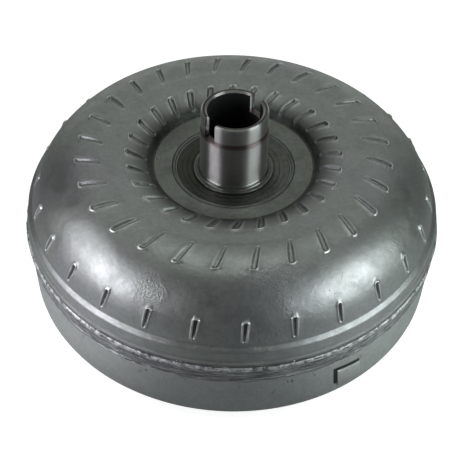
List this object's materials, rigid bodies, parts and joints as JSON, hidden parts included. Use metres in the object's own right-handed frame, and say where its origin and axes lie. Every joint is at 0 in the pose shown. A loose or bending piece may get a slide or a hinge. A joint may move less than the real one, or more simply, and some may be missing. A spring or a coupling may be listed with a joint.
{
  "type": "torque converter",
  "caption": "Welded automatic-transmission torque converter: bladed pump shell with a slotted drive hub, turbine and one-way stator inside, drive lugs on the cover.",
  "frame": {"origin": "on the shaft axis, in the plane of the drive lugs' faces that the converter stands on", "axes": "+Z along the shaft axis from the engine side to the pump hub's end; -Y is the side seen in front; one pair of hub slots lies at 48 degrees clockwise from -Y and opposite, seen from above"},
  "size_m": [0.3168, 0.3168, 0.1582],
  "materials": {
    "shell_paint": "satin metallic grey",
    "cover_paint": "satin metallic grey",
    "weld": "rough painted weld bead",
    "ground_hub": "ground",
    "machined_steel": "turned",
    "pressed_steel": "pressed sheet",
    "cast_aluminium": "as cast",
    "hard_steel": "lapped",
    "spring_steel": "blued",
    "bronze": "sintered bronze"
  },
  "bodies": {
    "housing": {"impeller_shell": "shell_paint", "front_cover": "cover_paint", "seam_weld": "weld", "hub_weld": "weld", "pump_hub": "ground_hub", "pilot_boss": "machined_steel", "balance_weight": "cover_paint", "impeller_vanes": "pressed_steel", "front_thrust_washer": "bronze", "pump_bearing_rear_race": "hard_steel", "drive_lug_1": "machined_steel", "drive_lug_2": "machined_steel", "drive_lug_3": "machined_steel", "drive_lug_4": "machined_steel", "drive_lug_5": "machined_steel", "drive_lug_6": "machined_steel"},
    "turbine": {"turbine_shell": "pressed_steel", "turbine_vanes": "pressed_steel", "turbine_hub": "machined_steel", "turbine_bearing_front_race": "hard_steel", "turbine_rivet_1": "pressed_steel", "turbine_rivet_2": "pressed_steel", "turbine_rivet_3": "pressed_steel", "turbine_rivet_4": "pressed_steel", "turbine_rivet_5": "pressed_steel", "turbine_rivet_6": "pressed_steel", "turbine_rivet_7": "pressed_steel", "turbine_rivet_8": "pressed_steel"},
    "stator": {"stator_wheel": "cast_aluminium", "clutch_cam": "hard_steel", "clutch_front_plate": "pressed_steel", "clutch_rear_plate": "pressed_steel", "clutch_snap_ring": "spring_steel", "turbine_bearing_rear_race": "hard_steel", "pump_bearing_front_race": "hard_steel", "clutch_roller_1": "hard_steel", "clutch_roller_2": "hard_steel", "clutch_roller_3": "hard_steel", "clutch_roller_4": "hard_steel", "clutch_roller_5": "hard_steel", "clutch_roller_6": "hard_steel", "clutch_roller_7": "hard_steel", "clutch_roller_8": "hard_steel", "roller_spring_1": "spring_steel", "roller_spring_2": "spring_steel", "roller_spring_3": "spring_steel", "roller_spring_4": "spring_steel", "roller_spring_5": "spring_steel", "roller_spring_6": "spring_steel", "roller_spring_7": "spring_steel", "roller_spring_8": "spring_steel"},
    "inner_race": {"clutch_inner_race": "hard_steel"},
    "turbine_bearing": {"turbine_bearing_cage": "bronze"},
    "pump_bearing": {"pump_bearing_cage": "bronze"}
  },
  "joints": [
    {"name": "turbine_spin", "type": "hinge", "parent": "housing", "child": "turbine", "pos_m": [0, 0, 0.044], "axis": [0, 0, 1], "continuous": true},
    {"name": "stator_spin", "type": "hinge", "parent": "housing", "child": "stator", "pos_m": [0, 0, 0.0705], "axis": [0, 0, 1], "continuous": true},
    {"name": "inner_race_freewheel", "type": "hinge", "parent": "stator", "child": "inner_race", "pos_m": [0, 0, 0.0705], "axis": [0, 0, 1], "range_deg": [-360, 0]},
    {"name": "turbine_bearing_spin", "type": "hinge", "parent": "housing", "child": "turbine_bearing", "pos_m": [0, 0, 0.0546], "axis": [0, 0, 1], "continuous": true},
    {"name": "pump_bearing_spin", "type": "hinge", "parent": "housing", "child": "pump_bearing", "pos_m": [0, 0, 0.0861], "axis": [0, 0, 1], "continuous": true}
  ],
  "couplings": [
    {"joint": "turbine_bearing_spin", "follows": "turbine_spin", "ratio": 0.5},
    {"joint": "pump_bearing_spin", "follows": "stator_spin", "ratio": 0.5}
  ]
}
